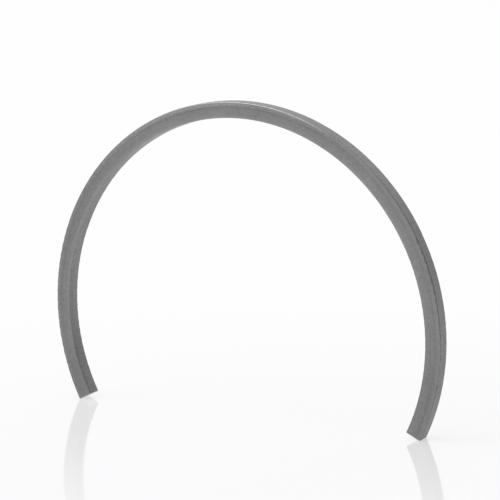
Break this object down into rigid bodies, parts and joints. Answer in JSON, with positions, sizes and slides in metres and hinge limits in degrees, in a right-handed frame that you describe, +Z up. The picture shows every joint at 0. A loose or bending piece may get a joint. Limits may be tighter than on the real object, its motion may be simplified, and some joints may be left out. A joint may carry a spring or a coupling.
{
  "type": "bearing locating ring",
  "caption": "Open C-shaped steel ring of rectangular section that fills the gap beside a bearing in its housing and fixes it endways.",
  "frame": {"origin": "on the ring's axis, half way through its width", "axes": "+Y along the ring's axis from its front face to its back face, +Z up through the middle of the arc, away from the opening, +X to the right seen from the front"},
  "size_m": [0.14, 0.005, 0.101],
  "materials": {
    "steel": "matt grey drawn bar with rounded edges"
  },
  "bodies": {
    "root": {"locating_ring": "steel"}
  },
  "joints": []
}
